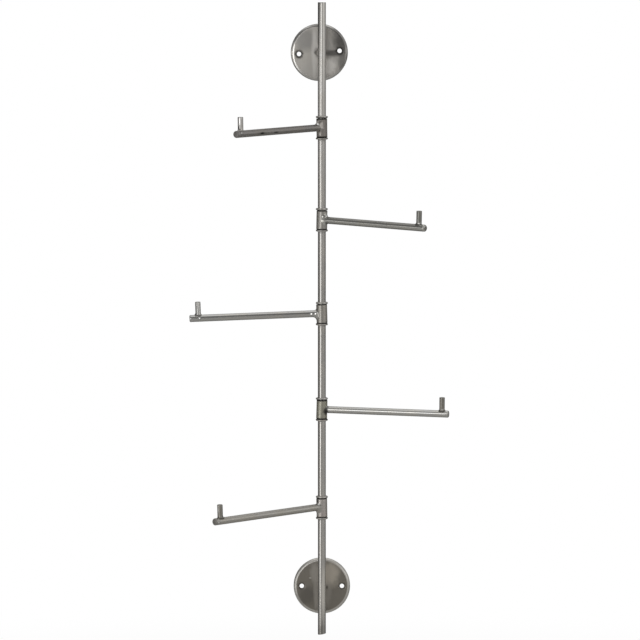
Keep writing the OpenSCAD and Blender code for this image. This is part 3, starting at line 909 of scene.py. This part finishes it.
# Studio: a white backdrop, a pale floor well below that darkens behind the rack, one large softbox
# to the left of the camera and a plain grey room round it, paler overhead. The white is there for
# the camera alone, because steel that mirrors an all-white room has no dark edges.
floor_z = -0.42
white = (1, 1, 1, 1)
bpy.ops.object.select_all(action="DESELECT")
bpy.ops.mesh.primitive_plane_add(size=40, location=(0, 0, floor_z))
floor = bpy.context.object
floor.name = "floor"
floor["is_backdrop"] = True
pale = bpy.data.materials.new("floor_pale")
pale.use_nodes = True
tree = pale.node_tree
tree.nodes.remove(tree.nodes["Principled BSDF"])
near_r, far_r = 0.8, 2.2  # the paint shows round the rack, and plain white beyond
on_floor = node(tree, "ShaderNodeTexCoord").outputs["Object"]
behind = ranged(tree, node(tree, "ShaderNodeSeparateXYZ", {0: on_floor}).outputs[1], -0.05, 0.35)
paint = node(tree, "ShaderNodeBsdfDiffuse", {
    "Color": blend_colours(tree, behind, (0.70, 0.695, 0.68, 1), (0.36, 0.36, 0.35, 1))})
glow = node(tree, "ShaderNodeEmission", {"Color": white, "Strength": 1.0})
away = node(tree, "ShaderNodeVectorMath", {0: on_floor}, operation="LENGTH")
plain = ranged(tree, away.outputs["Value"], near_r, far_r, 0.85, 1.0)
seen = node(tree, "ShaderNodeLightPath").outputs["Is Camera Ray"]
cover = node(tree, "ShaderNodeMixShader", {0: maths(tree, "MULTIPLY", seen, plain), 1: paint.outputs[0],
                                           2: glow.outputs[0]})
tree.links.new(cover.outputs[0], tree.nodes["Material Output"].inputs["Surface"])
floor.data.materials.append(pale)

studio = bpy.data.worlds.new("studio")
scene.world = studio
studio.use_nodes = True
room = studio.node_tree
looking = node(room, "ShaderNodeTexCoord").outputs["Generated"]


def card(grey, azimuth, elevation, inner, outer, level):
    """Lays a soft round card of the given level over the grey of the room, from inner to outer
    degrees off its middle. Azimuth 0 is the camera's side"""
    a, e = math.radians(azimuth), math.radians(elevation)
    towards = (math.sin(a) * math.cos(e), -math.cos(a) * math.cos(e), math.sin(e))
    near = node(room, "ShaderNodeVectorMath", {0: looking, 1: towards}, operation="DOT_PRODUCT")
    over = ranged(room, near.outputs["Value"], math.cos(math.radians(outer)), math.cos(math.radians(inner)))
    return maths(room, "MULTIPLY_ADD", over, maths(room, "SUBTRACT", level, grey), grey)


grey = 0.4
for soft_card in ((50, -12, 36, 66, 1.0), (-85, 28, 5, 40, 0.2), (-82, -24, 10, 34, 1.9),
                  (112, 0, 15, 40, 0.45), (-118, 10, 10, 34, 0.1), (180, 0, 25, 70, 0.32),
                  (0, 95, 20, 42, 1.0), (6, 26, 14, 34, 0.2)):
    grey = card(grey, *soft_card)
walls = room.nodes["Background"]
room.links.new(blend_colours(room, 1.0, (1.0, 0.99, 0.975, 1), grey, "MULTIPLY"), walls.inputs["Color"])
backdrop = node(room, "ShaderNodeBackground", {"Color": white, "Strength": 1.0})
seen = node(room, "ShaderNodeLightPath").outputs["Is Camera Ray"]
around = node(room, "ShaderNodeMixShader", {0: seen, 1: walls.outputs[0], 2: backdrop.outputs[0]})
room.links.new(around.outputs[0], room.nodes["World Output"].inputs["Surface"])
scene.view_settings.view_transform = "Standard"

softbox = bpy.data.lights.new("softbox", "AREA")
softbox.shape = "RECTANGLE"
softbox.size, softbox.size_y = 0.66, 3.2
softbox.energy = 11.4
softbox_far = 2.2
softbox_azimuth = math.radians(-35)
softbox_tilt = math.radians(-45)
aim = Vector((0, pole_y, 0.3))
key = bpy.data.objects.new("softbox", softbox)
scene.collection.objects.link(key)
key.location = aim + softbox_far * Vector((math.sin(softbox_azimuth), -math.cos(softbox_azimuth), 0))
key.rotation_euler = ((aim - key.location).to_track_quat("-Z", "Y").to_matrix()
                      @ Matrix.Rotation(softbox_tilt, 3, "Z")).to_euler()

camera_data = bpy.data.cameras.new("camera")
camera = bpy.data.objects.new("camera", camera_data)
scene.collection.objects.link(camera)
camera_data.sensor_width = 36.0
camera_data.lens = 195.93
camera.location = (0.0, -5.5, 0.9275)
looks_down = 5.217
camera.rotation_euler = (math.radians(90 - looks_down), 0, 0)
frame_width = 640
camera_data.shift_x = -1.85 / frame_width
scene.camera = camera

low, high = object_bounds()
